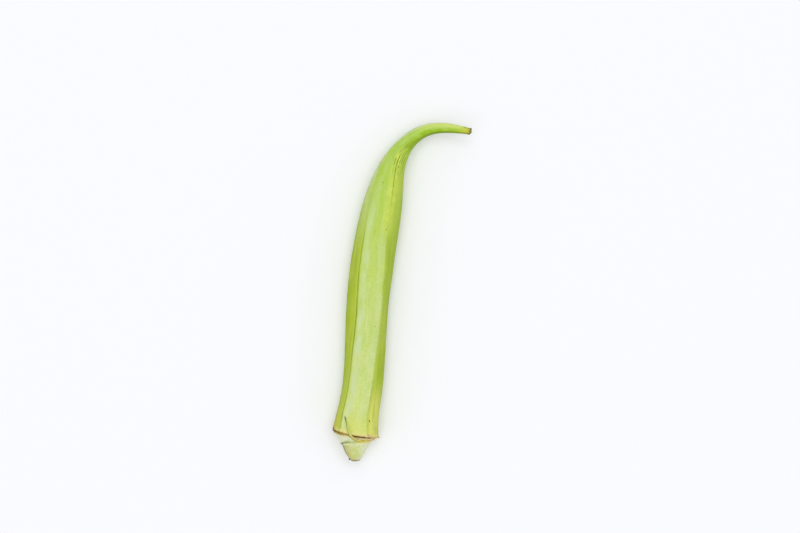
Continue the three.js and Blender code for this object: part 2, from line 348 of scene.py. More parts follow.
def skin_tree():
    """A closed surface skinned over rows.

    Each point of the input mesh is one row: a centre with a side, an up and a forward vector and a reach,
    round which the columns run. Flat panels, keels, unevenness, grain and raggedness then shape it."""
    w, given = geometry_tree(
        "skin_over_rows",
        "Ridge Rounding, Keel Height, Keel Width, Side Rib Height, Wander, Unevenness, Unevenness Size, "
        "Grain, Grain Size, Grain Stretch, Raggedness, Rag Size, Seed",
        "Columns",
    )
    rows = given["Geometry"]
    count = w.add("AttributeDomainSize", rows).outputs["Point Count"]
    across = w.add("ADD", given["Columns"], 1)
    sheet = {"Size X": 1, "Size Y": 1, "Vertices X": across, "Vertices Y": count}
    grid = w.add("MeshGrid", sheet)
    flat = w.add("SeparateXYZ", w.add("InputPosition")).outputs
    index = w.add("ROUND", w.times(w.add("ADD", flat["Y"], 0.5), w.add("SUBTRACT", count, 1)))

    def row(field, kind):
        return w.add("SampleIndex", rows, field, index, data_type=kind)

    def row_value(name, kind="FLOAT"):
        return row(w.add("InputNamedAttribute", name, data_type=kind), kind)

    centre = row(w.add("InputPosition"), "FLOAT_VECTOR")
    side, up, forward = (row_value(name, "FLOAT_VECTOR") for name in ("side", "up", "forward"))
    reach, station, twist, pinch, flatness = map(row_value, "reach station twist pinch flatness".split())
    keel_left, keel_right, rib_fade = map(row_value, ("keel_left", "keel_right", "side_rib"))
    rough, ragged, sway, slant = map(row_value, ("rough", "ragged", "sway", "slant"))

    # The angle before the twist, in radians, once round from the first ridge, and the straight place: where
    # the surface would be if the pod had not bent. Patterns follow the straight place.
    turn = w.add("ADD", flat["X"], 0.5)
    angle = w.add("MULTIPLY_ADD", turn, 2 * math.pi, math.radians(RIDGE_ANGLES[0]))
    sine = w.add("SINE", angle)
    straight_z = w.times(reach, w.add("COSINE", angle))
    straight = w.add("CombineXYZ", w.times(reach, sine), station, straight_z)

    def wave(height, size, detail, seed, stretch=1):
        """Swells up to about a height either side of nothing."""
        clouds = w.clouds(straight, size, detail, w.add("ADD", given["Seed"], seed), stretch)
        return w.times(w.add("MULTIPLY_ADD", clouds, 2, -1), height)

    # Flat panels: the nearest of the chords between the ridges. On the far side the cosine is kept off 0.
    nearest = None
    for low, high in PANELS:
        off = w.add("SUBTRACT", angle, math.radians((low + high) / 2))
        cosine = w.add("MAXIMUM", w.add("COSINE", off), 0.2)
        chord = w.add("DIVIDE", math.cos(math.radians((high - low) / 2)), cosine)
        nearest = w.add("SMOOTH_MIN", nearest, chord, given["Ridge Rounding"]) if nearest else chord
    ribbed = w.times(reach, w.add("MULTIPLY_ADD", w.add("SUBTRACT", nearest, 1), flatness, 1))

    # The keel on each ridge, a raised line, and the short side rib.
    def way_to(degrees):
        off = w.add("WRAP", w.add("SUBTRACT", angle, math.radians(degrees)), math.pi, -math.pi)
        return w.times(w.add("ABSOLUTE", off), reach)

    ridge = w.chain("MINIMUM", *map(way_to, RIDGE_ANGLES))
    keel_share = w.add("Mix", w.add("GREATER_THAN", sine, 0), keel_left, keel_right)
    keel = w.times(w.bell(ridge, given["Keel Width"]), given["Keel Height"], keel_share)
    rib = w.times(w.bell(way_to(SIDE_RIB_ANGLE), given["Keel Width"]), given["Side Rib Height"], rib_fade)

    uneven = wave(given["Unevenness"], given["Unevenness Size"], 1, 0)
    grain = wave(given["Grain"], given["Grain Size"], 2, 7, given["Grain Stretch"])
    torn = wave(given["Raggedness"], given["Rag Size"], 3, 13)
    frayed = wave(given["Raggedness"], given["Rag Size"], 3, 19)
    skin = w.times(rough, w.add("ADD", uneven, grain))
    total = w.chain("ADD", ribbed, keel, rib, skin, w.times(ragged, torn))

    around = w.add("DEGREES", w.add("WRAP", angle, math.pi, -math.pi))
    near = w.add("MINIMUM", w.add("MAXIMUM", around, -PINCH_REACH), PINCH_REACH)
    pinched = w.times(pinch, w.add("SINE", w.add("MULTIPLY", near, math.pi / PINCH_REACH)))
    sways = [w.times(w.bell(around, width, middle), size * MM) for size, middle, width in SWAYS]
    tipped = w.add("ADD", straight_z, w.times(reach, sine, TIP_SIDE_SLANT))
    slid = (w.times(ragged, frayed), w.times(sway, w.chain("ADD", *sways)), w.times(slant, tipped, -1))
    wander = wave(given["Wander"], WANDER_SIZE * MM, 2, 31)
    turned = w.chain("ADD", angle, twist, wander, w.add("MULTIPLY", pinched, -1))
    place = centre
    for direction, length in (
        (side, w.times(total, w.add("SINE", turned))),
        (up, w.times(total, w.add("COSINE", turned))),
        (forward, w.chain("ADD", *slid)),
    ):
        step = w.add("VectorMath", direction, length, operation="SCALE")
        place = w.add("VectorMath", place, step, operation="ADD")
    place = w.add("VectorMath", place, (-1, -1, 0), operation="MAXIMUM")  # nothing sinks into the table

    kept = grid.outputs["Mesh"]
    for name, kind, field in (("straight", "FLOAT_VECTOR", straight), ("ridge", "FLOAT", ridge)):
        stored = {"Geometry": kept, "Name": name, "Value": field}
        kept = w.add("StoreNamedAttribute", stored, data_type=kind)
    placed = w.add("SetPosition", {"Geometry": kept, "Position": place})
    closed = w.add("MergeByDistance", {"Geometry": placed, "Distance": WELD * MM})
    return close_tree(w, closed, given["Material"])


def scatter_tree():
    """Bristles or torn fibres scattered over a skin: tapering, leaning at random and clear of the table."""
    sizes = "Density, Ridge Boost, Ridge Band, Lowest, First Station, Last Station, Length, Thickness, Lean"
    w, given = geometry_tree("scatter_over_skin", sizes, "Sides, Seed")
    ridge = w.add("InputNamedAttribute", "ridge")
    straight = w.add("InputNamedAttribute", "straight", data_type="FLOAT_VECTOR")
    station = w.add("SeparateXYZ", straight).outputs["Y"]
    height = w.add("SeparateXYZ", w.add("InputPosition")).outputs["Z"]
    density = w.times(
        given["Density"],
        w.add("MULTIPLY_ADD", w.bell(ridge, given["Ridge Band"]), given["Ridge Boost"], 1),
        w.add("GREATER_THAN", height, given["Lowest"]),
        w.add("GREATER_THAN", station, given["First Station"]),
        w.add("LESS_THAN", station, given["Last Station"]),
    )
    spread = {"Mesh": given["Geometry"], "Density": density, "Seed": given["Seed"]}
    points = w.add("DistributePointsOnFaces", spread).outputs

    def random(low, high, offset):
        inputs = {"Min": low, "Max": high, "Seed": w.add("ADD", given["Seed"], offset)}
        return w.add("RandomValue", inputs)

    lean = [random(w.add("MULTIPLY", given["Lean"], -1), given["Lean"], offset) for offset in (1, 2)]
    turn = w.add("EulerToRotation", w.add("CombineXYZ", *lean, 0))
    turned = {"Rotation": points["Rotation"], "Rotate By": turn}
    cone = {
        "Vertices": given["Sides"],
        "Radius Top": w.add("MULTIPLY", given["Thickness"], HAIR_TAPER),
        "Radius Bottom": given["Thickness"],
        "Depth": given["Length"],
    }
    scattered = {
        "Points": points["Points"],
        "Instance": w.add("MeshCone", cone).outputs["Mesh"],
        "Rotation": w.add("RotateRotation", turned, rotation_space="LOCAL"),
        "Scale": random(0.5, 1, 3),
    }
    return close_tree(w, w.add("InstanceOnPoints", scattered), given["Material"])


def peg_tree():
    """One rounded peg or scale on each point of the input mesh, which says where it aims and its size."""
    w, given = geometry_tree("pegs_on_points", "Taper, Unevenness", "Sides")
    aim = w.add("InputNamedAttribute", "aim", data_type="FLOAT_VECTOR")
    girth, length = (w.add("InputNamedAttribute", name) for name in ("girth", "length"))
    sphere = {"Segments": given["Sides"], "Rings": 8, "Radius": 1}
    ball = w.add("MeshUVSphere", sphere).outputs["Mesh"]
    x, y, z = w.add("SeparateXYZ", w.add("InputPosition")).outputs
    height = w.add("MULTIPLY_ADD", z, 0.5, 0.5)
    narrowing = w.add("Mix", height, 1, given["Taper"])
    drawn = w.add("CombineXYZ", w.times(x, narrowing), w.times(y, narrowing), height)
    set_out = {
        "Points": w.add("MeshToPoints", given["Geometry"]),
        "Instance": w.add("SetPosition", {"Geometry": ball, "Position": drawn}),
        "Rotation": w.add("AlignRotationToVector", {"Vector": aim}, axis="Z"),
        "Scale": w.add("CombineXYZ", girth, girth, length),
    }
    real = w.add("RealizeInstances", w.add("InstanceOnPoints", set_out))
    lumps = {"Vector": w.add("InputPosition"), "Scale": 1 / (LUMP_SIZE * MM)}
    lumpy = w.add("VectorMath", w.add("TexNoise", lumps).outputs["Color"], (0.5,) * 3, operation="SUBTRACT")
    offset = w.add("VectorMath", lumpy, given["Unevenness"], operation="SCALE")
    shaped = w.add("SetPosition", {"Geometry": real, "Offset": offset})
    return close_tree(w, shaped, given["Material"])


# ======== Making pieces ========


def point_mesh(name, points, **values):
    """A mesh of loose points, given in mm, with a named attribute for each value: vectors or numbers."""
    mesh = bpy.data.meshes.new(name)
    mesh.from_pydata((np.asarray(points) * MM).tolist(), [], [])
    for label, value in values.items():
        value = np.asarray(value, float)
        if value.ndim == 2:
            mesh.attributes.new(label, "FLOAT_VECTOR", "POINT").data.foreach_set("vector", value.ravel())
        else:
            numbers = np.broadcast_to(value, (len(mesh.vertices),)).copy()
            mesh.attributes.new(label, "FLOAT", "POINT").data.foreach_set("value", numbers)
    return mesh


def axis_rows(name, outline, **shares):
    """Rows square to the pod's axis from an outline of (radius, station) in mm. A share is a number, an array
    or a function of the station."""
    reach, station = np.array(outline, float).T
    centre, side = axis_at(station)
    return point_mesh(
        name,
        centre,
        side=side,
        up=np.broadcast_to([0.0, 0.0, 1.0], side.shape),
        forward=np.column_stack([-side[:, 1], side[:, 0], 0 * station]),
        reach=reach * MM,
        station=station * MM,
        twist=np.radians(RIDGE_TWIST(station)),
        pinch=np.radians(PANEL_PINCH(station)),
        flatness=PANEL_FLATNESS(station),
        sway=JOINT_SWAY(station),
        slant=TIP_SLANT(station),
        **{label: share(station) if callable(share) else share for label, share in shares.items()},
    )


def down_profile(profile, start, stop, count):
    """(radius, station) pairs down a profile function, both ends included."""
    stations = np.linspace(start, stop, count)
    return list(zip(profile(stations), stations))


def grown(tree, mesh, values):
    """The plain mesh that a tree makes of a mesh of points or of a skin."""
    holder = bpy.data.objects.new("seed", mesh)
    bpy.context.scene.collection.objects.link(holder)
    modifier = holder.modifiers.new("grow", "NODES")
    modifier.node_group = tree
    for item in tree.interface.items_tree:
        if item.in_out == "INPUT" and item.name in values:
            modifier[item.identifier] = values[item.name]
    graph = bpy.context.evaluated_depsgraph_get()
    made = bpy.data.meshes.new_from_object(
        holder.evaluated_get(graph), preserve_all_data_layers=True, depsgraph=graph
    )
    bpy.data.objects.remove(holder)
    return made


def grow(name, tree, meshes, material, home, **sizes):
    """Sizes go by the tree's input names."""
    values = {label.replace("_", " ").title(): size for label, size in sizes.items()}
    made = [grown(tree, mesh, values | {"Material": material}) for mesh in meshes]
    joined = made[0]
    if len(made) > 1:
        work = bmesh.new()
        for mesh in made:
            work.from_mesh(mesh)
        work.to_mesh(joined)
        work.free()
    joined.name = name
    piece = bpy.data.objects.new(name, joined)
    bpy.context.scene.collection.objects.link(piece)
    slot, node = home
    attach(piece, "root")
    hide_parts(node)
    return piece


# ======== Materials ========
#
# Down is a share between stations in mm, and across one between angles in degrees. A number at the end of a
# layer says how much of its colour shows.


def new_material(name):
    """An empty material and its weave."""
    material = bpy.data.materials.new(name)
    material.use_nodes = True
    material.node_tree.nodes.clear()
    return material, Weave(material.node_tree)


def skin_places(w):
    """What the patterns follow, in mm and degrees: the straight place, its station and its angle."""
    metres = w.add("Attribute", attribute_name="straight").outputs["Vector"]
    place = w.add("VectorMath", metres, 1 / MM, operation="SCALE")
    x, station, z = w.add("SeparateXYZ", place).outputs
    return place, station, w.add("DEGREES", w.add("ARCTAN2", x, z))


def along(w, station, stops, first=-STALK_LENGTH, last=POD_LENGTH):
    """A colour or a share by station, from the hex colours or the numbers at some stations."""
    tones = {s: colour(value) if isinstance(value, str) else [value] * 3 + [1] for s, value in stops.items()}
    ramp = [((s - first) / (last - first), tone) for s, tone in tones.items()]
    run = w.add("DIVIDE", w.add("SUBTRACT", station, first), last - first)
    return w.add("ValToRGB", run, stops=ramp).outputs["Color"]


def paint(w, tone, gloss, *layers, **inputs):
    """Ends a material with its shader, under bump layers, each (height field, depth in mm, strength). Further
    inputs go by name, with underscores."""
    inputs = {label.replace("_", " "): value for label, value in inputs.items()}
    relief = {}
    for height, depth, strength in layers:
        bump = {"Strength": strength, "Distance": depth * MM, "Height": height}
        relief = {"Normal": w.add("Bump", bump | relief)}
    shader = w.add("BsdfPrincipled", {"Base Color": tone, "Roughness": gloss} | relief | inputs)
    w.add("OutputMaterial", shader)


def okra_rind():
    """Fresh okra rind, thin and wax-coated: the eye gets pale green panels with a painted cool sheen along
    their margins, thin dark ridge lines, greener sides darkened low down by painted shade, fine lengthwise
    veins, a yellow flare and a browned tip."""
    material, w = new_material("okra_rind")
    place, station, angle = skin_places(w)
    down, across = partial(w.share, station), partial(w.share, angle)
    ridge = w.add("MULTIPLY", w.add("Attribute", attribute_name="ridge").outputs["Fac"], 1 / MM)
    turn = w.add("ABSOLUTE", angle)
    neck = down(88, 116)
    right = across(-4, 4)
    veins = 14  # how far the veins are drawn out along the pod

    top_tones = {0: "#DCE07A", 6: "#D9E182", 13: "#D3E08C", 30: "#CDDD88", 50: "#C9DB80", 70: "#C5DA74"}
    top_tones |= {90: "#B9D35C", 108: "#B3D254", 122: "#AFD152", 134: "#B4D452", 148: "#B4D048"}
    top = along(w, station, top_tones | {POD_LENGTH: "#BDC23E"})
    side_tones = {0: "#D2CC44", 8: "#C6CA34", 22: "#B4C62A", 45: "#AEC426", 75: "#AEC42A", 92: "#BAD252"}
    side_tones |= {112: "#BBD352", 125: "#B2CE4C", 140: "#A8C62A", POD_LENGTH: "#BCC02C"}
    flank = along(w, station, side_tones)
    # On the belly the panels part sharply at the ridge; on the round neck one tone melts into the other.
    soft = down(74, 96)
    melted = w.share(turn, w.add("Mix", soft, 30, 24), w.add("Mix", soft, 46, 58))
    parted = w.add("Mix", right, w.share(turn, 34.5, 37.5), melted)
    off_top = w.add("Mix", neck, parted, w.share(turn, 15, 85))

    streaks = w.times(w.patches(place, 0.8, 0.45, 0.75, 3, 4, veins), w.add("Mix", neck, 0.3, 0.14))
    tone = w.layered(
        top,
        (flank, off_top),
        ("#DFE6AE", down(12, 6), across(-38, -33, -26, -16), 0.75),  # a pale wedge on the top's left
        ("#9ABA22", right, off_top, w.bell(station, 24, 76), across(150, 110), 0.45),  # a deeper green on the right flank, partly its own colour and partly painted shade
        # A deeper green lower on the right flank, partly its own colour and partly painted shade.
        ("#93B020", w.bell(station, 9, 25), across(44, 58, 110, 150), 0.5),
        ("#EEEC7C", down(26, 10), across(35, 42, 84, 110), 0.95),  # the yellow flare
        # Painted shade: darker, duller green low on the flanks, above the table.
        ("#8AA01E", w.share(turn, 60, 92, 120, 170), w.add("Mix", w.clouds(place, 8, 2, 2), 0.1, 0.6)),
        ("#BFD452", w.patches(place, 9, 0.42, 0.7), 0.35),  # clouds of yellower green
        ("#A9C64A", w.patches(place, 2.6, 0.45, 0.75, 4, 3, 2.5), 0.3),  # dapples
        ("#C6CE48", w.patches(place, 4.5, 0.48, 0.66, 3, 71, 6), off_top, 0.5),  # riper flank
        ("#8FAA1E", w.patches(place, 3, 0.5, 0.72, 4, 73, 4), off_top, 0.45),  # deeper flank
        ("#E0E8B0", streaks, w.share(off_top, 0.9, 0.2)),
        ("#C9CC6A", w.patches(place, 5, 0.45, 0.62, 4, 81, 3), w.share(turn, 120, 160), 0.6),  # rubbed below
        ("#93B236", w.patches(place, 0.42, 0.38, 0.68, 2, 9, 1.8), 0.2),  # a fine net of grains
    )

    # Painted sheen: a cool pale gloss in broken bands inside the top panel's ridges, and along the neck's
    # outer side.
    broken = w.patches(place, 2.4, 0.32, 0.62, 3, 14, 3)
    sheen_band = w.times(w.share(ridge, 0.4, 1.2, 2, 4.2), w.share(off_top, 0.3, 0), down(3, 10))
    sheen_fade = w.times(w.add("Mix", down(80, 96), 0.55, 0.18), w.add("Mix", right, 1, 0.35))
    wider = down(104, 118)
    outer = across(-100, -72, w.add("Mix", wider, -74, -60), w.add("Mix", wider, -44, -24))
    sheen_patches = w.add("Mix", w.patches(place, 1.6, 0.35, 0.62, 4, 17, 5), 0.3, 1)
    blotched = w.add("Mix", w.patches(place, 2, 0.4, 0.6, 3, 87), 0.4, 0.9)
    spread = w.add("Mix", w.patches(place, 1.9, 0.38, 0.6, 3, 85, 1.6), 0.3, 0.95)
    tone = w.layered(
        tone,
        # Painted sheen in broken bands beside the top panel's ridges.
        ("#D0DCB6", sheen_band, broken, sheen_fade),
        # Painted sheen along the neck's outer side, and a faint wider one over its left.
        ("#DCE6C4", down(86, 110), outer, sheen_patches, 0.75),
        ("#DCE6C4", w.bell(station, 12, 92), across(-86, -50, -28, -6), 0.18),
        ("#A3C93A", w.patches(place, 2.3, 0.48, 0.62, 3, 89), neck, 0.35),  # bruised neck
        ("#CFDF5E", down(80, 94, 118, 134), across(8, 24, 40, 64), blotched),  # its sunny right side
        ("#96BE20", down(118, 130, 143, 151), across(-10, 18, 120, 170), spread),  # the arm's right side in deeper green, partly its own colour and partly painted shade
        ("#D6E57C", down(128, 142), across(-160, -110, -32, 8), 0.75),  # and its shine
    )

    # Ridge lines: fine, dark and broken, with a bright yellow-green edge on the flank beyond.
    left_line = along(w, station, {0: 0.3, 6: 0.95, 60: 0.9, 80: 0.55, 92: 0})
    right_shares = {0: 0.1, 8: 0.2, 16: 0.35, 28: 0.2, 84: 0.1, 98: 0.15, 107: 0.6, 120: 0.75, 132: 0}
    strength = w.add("Mix", right, left_line, along(w, station, right_shares))
    gaps = w.add("Mix", w.patches(place, 0.9, 0.3, 0.5, 2, 23, 8), w.add("Mix", neck, 0.6, 0.1), 1)
    high = w.share(turn, 88, 62)
    fine_mark = w.share(ridge, w.add("Mix", neck, 0.62, 0.34), w.add("Mix", neck, 0.25, 0.06))
    top_mark = w.add("Mix", right, w.bell(angle, 2.9, -38), fine_mark)
    mark = w.add("Mix", w.share(turn, 55, 60), top_mark, fine_mark)
    edge = w.times(w.share(ridge, 0.3, 0.8, 1, 3), off_top, down(98, 82), high)
    # Old creases where the neck bends: fine broken brown-green lines side by side on its inner side.
    spacing = 12  # degrees from crease to crease
    bent = w.add("MULTIPLY_ADD", w.clouds(place, 5, 1, 29, 3), 20, angle)
    lines = w.share(w.add("COSINE", w.add("MULTIPLY", bent, math.radians(360 / spacing))), 0.45, 0.85)
    dashes = w.patches(place, 1, 0.38, 0.46, 1, 27, 2.5)
    tone = w.layered(
        tone,
        ("#BED03E", edge, w.add("Mix", right, 0.8, 0.35)),
        ("#7C9408", mark, strength, gaps, w.add("Mix", high, 0.25, 1)),
        ("#8E9A2A", w.bell(angle, 2.2, SIDE_RIB_ANGLE - 3), down(24, 8), 0.25),  # the side rib's left slope
        ("#5F7A10", down(108, 116, 126, 132), across(14, 24, 66, 84), lines, dashes, 0.9),
        ("#D6D048", w.bell(angle, 8, -11), w.bell(station, 1.8, 4.6), broken, 0.6),  # a yellow blotch
    )

    # Browning: at the joint, on the flare's left corner, and on the tip, its rim and its face.
    ragged = w.add("MULTIPLY_ADD", w.clouds(place, 1.1, 3, 31), 2.4, w.add("SUBTRACT", station, 1.2))
    stains = w.patches(place, 1.4, 0.4, 0.56, 2, 67)
    spots = w.add("Mix", w.patches(place, 0.9, 0.42, 0.58, 2, 61), 0.3, 0.9)
    rim = w.times(w.bell(ragged, 0.5, TIP - 0.2), w.add("Mix", w.share(turn, 30, 75), 0.3, 1))
    mottled = w.layered("#B4AC58", ("#5C5424", w.patches(place, 0.7, 0.42, 0.56, 3, 63)))
    tone = w.layered(
        tone,
        ("#E6DC8C", w.share(ragged, 2, 0.9), 0.75),  # a pale torn fringe
        ("#C0A052", w.share(ragged, 0.8, -0.1), 0.8),  # a stain along it
        ("#A68A38", w.share(ragged, 1, 0.2), across(-104, -84, -34, -8), 0.85),  # singed on the left
        ("#C6B636", down(9, 1.5), across(-170, -120, -92, -54), 0.5),  # the yellowed corner
        ("#5E4A1A", w.share(ragged, 2.2, 0.8), across(-130, -105, -92, -76), 0.85),  # and its scorched edge
        ("#C8CC46", w.share(ragged, TIP - 5.2, TIP - 0.8), 0.75),  # the ripened tip
        ("#728814", down(120, 136), across(26, 52, 120, 160), 0.62),  # the arm's shaded inner side
        ("#86783A", w.share(ragged, TIP - 3.2, TIP - 2), across(-150, -110, -52, -26), stains, 0.6),
        ("#5E5826", rim, spots),
        (mottled, down(TIP + 0.15, TIP + 0.3), 0.9),
    )

    # Sparse dark pores and faint freckles.
    for size, rarity, dark, tint in ((3.4, 0.8, 0.65, "#6E7A20"), (1.3, 0.62, 0.3, "#86A02C")):
        cell = w.add("TexVoronoi", {"Vector": place, "Scale": 1 / size}).outputs
        chosen = w.share(w.add("SeparateColor", cell["Color"]), rarity, rarity + 0.04)
        pore = w.share(w.add("MULTIPLY", cell["Distance"], size), 0.26, 0.1)
        tone = w.layered(tone, (tint, pore, chosen, dark))

    paint(
        w,
        tone,
        w.add("Mix", w.clouds(place, 1.2, 3, 37, veins), 0.38, 0.6),
        (w.clouds(place, 0.32, 3, 41, veins), 0.06, 0.5),
        (w.clouds(place, 0.22, 2, 47), 0.04, 0.4),
        (w.clouds(place, 1.4, 2, 51, veins), 0.12, 0.5),
        IOR=1.42,
        Specular_IOR_Level=0.12,
        Subsurface_Weight=0.08,
        Subsurface_Scale=1 * MM,
        Subsurface_Radius=(0.6, 1, 0.2),
    )
    return material


def cap_rind():
    """Rind of cap and stalk, drier than the pod's: the eye gets a whitish bloom over pale green on the cone,
    a yellower stalk with a brown streak and striations, painted light on the right and painted shade down the
    stalk's left, and a golden line on the ledge with a painted grey-green shade line under it."""
    material, w = new_material("cap_rind")
    place, station, angle = skin_places(w)
    down, across = partial(w.share, station), partial(w.share, angle)
    tones = {-STALK_LENGTH: "#CFCB92", -10.4: "#D0D090", -8.5: "#CED48A", -5.5: "#D2DC94", -4: "#DAE0A2"}
    tones |= {-3.5: "#E0E6B4", -2.4: "#E5EAC4", -1: "#E6EAC8", 0: "#DADEA8"}
    stalk = down(-3.9, -4.6)
    veins = 5  # how far the striations are drawn out along the stalk
    # The way from the ledge where the bracts grew, wavy, and the torn edges at the seam and the cut end.
    ledge = w.add("ADD", station, w.add("MULTIPLY_ADD", across(-14, -88), 1.15, 2.75))
    wavy = w.add("MULTIPLY_ADD", w.clouds(place, 1.5, 2, 7), 0.6, w.add("SUBTRACT", ledge, 0.3))
    seam = w.add("MULTIPLY_ADD", w.clouds(place, 0.9, 3, 11), 1.2, station)
    torn = w.add("MULTIPLY_ADD", w.clouds(place, 1.2, 3, 15), 1.4, station)
    shade = w.layered("#55582E", ("#8A9658", across(-64, -46)))
    face = w.layered("#DAD6A6", ("#A89A5C", w.patches(place, 0.7, 0.4, 0.62, 4, 33)))
    tone = w.layered(
        along(w, station, tones, last=0),
        ("#B9AF5E", across(-170, -120, -66, -12), stalk, 0.7),  # the stalk's browner left, partly its own colour and partly painted shade
        ("#EDF0D2", across(18, 60, 96, 140), 0.6),  # painted light on the right of cap and stalk
        ("#E4EAD2", w.patches(place, 2.2, 0.42, 0.68), 0.5),  # bloom
        ("#A9B858", w.patches(place, 0.5, 0.42, 0.72, 3, 3, veins), 0.35),  # striations
        ("#B79A4A", w.bell(angle, 22, -38), stalk, w.patches(place, 1, 0.3, 0.6, 3, 5, veins), 0.5),
        ("#74703E", across(-124, -92, -72, -52), stalk, 0.8),  # painted shade along the stalk's left edge
        ("#BCCB5C", w.bell(angle, 26, 2), down(-10.8, -9), stalk, 0.4),  # a green line down it
        # Dry stains round the scars where the bracts grew, and painted shade in the groove under the ledge.
        ("#D8CC58", w.bell(wavy, 0.75, 0.35), across(-6, 16, 66, 90), 0.95),
        ("#F2EDCB", w.bell(wavy, 0.45, -0.9), across(2, 16, 90, 130), 0.4),
        ("#B2BE66", w.bell(wavy, 0.75), across(-44, -26, 2, 16), 0.8),
        # Painted shade under the ledge, darker at its far left.
        (shade, w.bell(wavy, 0.3, -0.1), across(-150, -110, -30, -4)),
        # Dry stains below the seam, and the cut end: a pale fibrous face inside a brown rim.
        ("#B3A264", w.share(seam, -0.6, 0.3), 0.6),
        ("#605426", w.share(torn, -9.4, -10), w.add("Mix", across(-175, -130, -50, -10), 0.6, 0.9)),
        (face, down(-10.95, -11.12)),
    )
    gloss = w.add("Mix", w.clouds(place, 0.9, 3, 29, veins), 0.5, 0.72)
    relief = (w.clouds(place, 0.35, 3, 19, veins), 0.09, 0.6), (w.clouds(place, 0.3, 2, 23), 0.05, 0.4)
    paint(w, tone, gloss, *relief, IOR=1.42, Specular_IOR_Level=0.3)
    return material


def dry_membrane(name, pale, mid, dark, share_dark):
    """Dried calyx membrane, papery and matt: the eye gets gold to dark brown, in fibres round the joint."""
    material, w = new_material(name)
    place, _, angle = skin_places(w)
    middle = w.times(w.bell(angle, 36, 12), 0.3)
    clots = w.add("ADD", w.clouds(place, 0.9, 4, 5), middle)
    drawn = w.add("VectorMath", place, (0.5, 3, 0.5), operation="MULTIPLY")
    fibres = w.clouds(drawn, 0.5, 3, 9)
    tone = w.layered(
        mid,
        (pale, w.patches(place, 1.3, 0.35, 0.65)),
        (pale, w.share(angle, 36, 66, 110, 150), 0.8),  # a paler right
        (dark, w.share(clots, 0.75 - share_dark, 0.95 - share_dark), 0.95),  # dark clots, more in the middle
        (mid, w.share(angle, -140, -100, -46, -18), 0.7),  # an even left
        (pale, w.share(fibres, 0.5, 0.7), 0.35),
    )
    gloss = w.add("Mix", w.clouds(place, 0.6, 2, 21), 0.65, 0.9)
    relief = (fibres, 0.12, 0.7), (w.clouds(place, 0.25, 2, 15), 0.06, 0.5)
    paint(w, tone, gloss, *relief, IOR=1.45, Specular_IOR_Level=0.25)
    return material


def bract_rind():
    """A withered bract strand: the eye gets yellow-green that darkens to olive and to a brown tip."""
    material, w = new_material("bract_rind")
    place, station, angle = skin_places(w)
    down, across = partial(w.share, station), partial(w.share, angle)
    tones = {0: "#C8B04C", 3: "#D4C45E", 6: "#C8BF5A", 9: "#C6CF60", 12: "#AEBC4C", 14.2: "#8C9838"}
    lit = w.layered("#ECD68A", ("#E8EC8E", down(6, 8.5)))
    tone = w.layered(
        along(w, station, tones | {14.8: "#4E431C"}, first=0, last=15.2),
        (lit, across(5, 40, 110, 150), down(13.5, 11), 0.6),  # a lit right edge
        ("#7C8A38", across(-4, -36), down(1, 3.5), 0.8),  # a dark left edge
        ("#9AA23E", w.patches(place, 0.3, 0.45, 0.7, stretch=6), 0.4),  # veins
        ("#7D8A34", w.share(w.add("ABSOLUTE", angle), 70, 120), 0.5),  # a duller underside
    )
    gloss = w.add("Mix", w.clouds(place, 0.5, 2, 5), 0.5, 0.7)
    paint(w, tone, gloss, (w.clouds(place, 0.2, 2, 3, 6), 0.06, 0.6), IOR=1.42, Specular_IOR_Level=0.3)
    return material


def speckled(name, low, high, size, roughness=0.75):
    """Dried bits too small to show more: the eye gets two close tones in specks, whose size is in mm."""
    material, w = new_material(name)
    spot = w.add("TexCoord").outputs["Object"]
    specks = w.clouds(spot, size * MM, 3)
    gloss = w.add("Mix", w.clouds(spot, size * 2 * MM, 2, 5), roughness - 0.1, roughness + 0.1)
    tone = w.layered(low, (high, w.share(specks, 0.35, 0.65)))
    paint(w, tone, gloss, (specks, 0.05, 0.5), IOR=1.45, Specular_IOR_Level=0.25)
    return material


# ======== The pieces ========

SKIN = skin_tree()
SCATTER = scatter_tree()
PEGS = peg_tree()

luck = np.random.default_rng(14)


def make_pod():
    """The pod, from the closed face at the joint over the flare to the blunt, dried tip."""
    tip = float(RIDGE_RADIUS(TIP))
    outline = [(0, 0.15), (4, 0.15), (8.7, 0.15), (9.35, 0.2), (9.7, 0.35), (9.85, 0.55)]
    outline += down_profile(RIDGE_RADIUS, 0.8, TIP - 0.3, POD_ROWS)
    end = ((1, 0), (0.95, 0.2), (0.84, 0.34), (0.68, 0.4), (0.36, 0.34), (0, 0.3))
    outline += [(tip * share, TIP + step) for share, step in end]
    right_keel = [(0, 0.2), (10, 0.3), (30, 0.7), (80, 0.6), (100, 0.25), (130, 0.15), (TIP, 0)]
    mesh = axis_rows(
        "pod_rows",
        outline,
        keel_left=smooth_through([(0, 0.3), (3, 1), (70, 1), (95, 0), (TIP, 0)]),
        keel_right=smooth_through(right_keel),
        side_rib=smooth_through([(0, 0.4), (2, 1), (10, 0.9), (24, 0)]),
        rough=smooth_through([(0, 0.3), (4, 1), (110, 1), (135, 0.4), (TIP, 0.3)]),
        ragged=smooth_through([(0, 0.5), (1.2, 0), (TIP - 1, 0), (TIP + 0.2, 0.8)]),
    )
    sizes = {"keel_height": 0.2 * MM, "keel_width": 0.5 * MM, "side_rib_height": 0.2 * MM}
    sizes |= {"unevenness": 0.2 * MM, "unevenness_size": 13 * MM, "ridge_rounding": 0.02, "wander": 0.035}
    sizes |= {"grain": 0.05 * MM, "grain_size": 1.2 * MM, "grain_stretch": 12.0}
    sizes |= {"raggedness": 0.4 * MM, "rag_size": 0.9 * MM, "seed": 3.0, "columns": 180}
    return grow("okra_pod", SKIN, [mesh], okra_rind(), POD, **sizes)


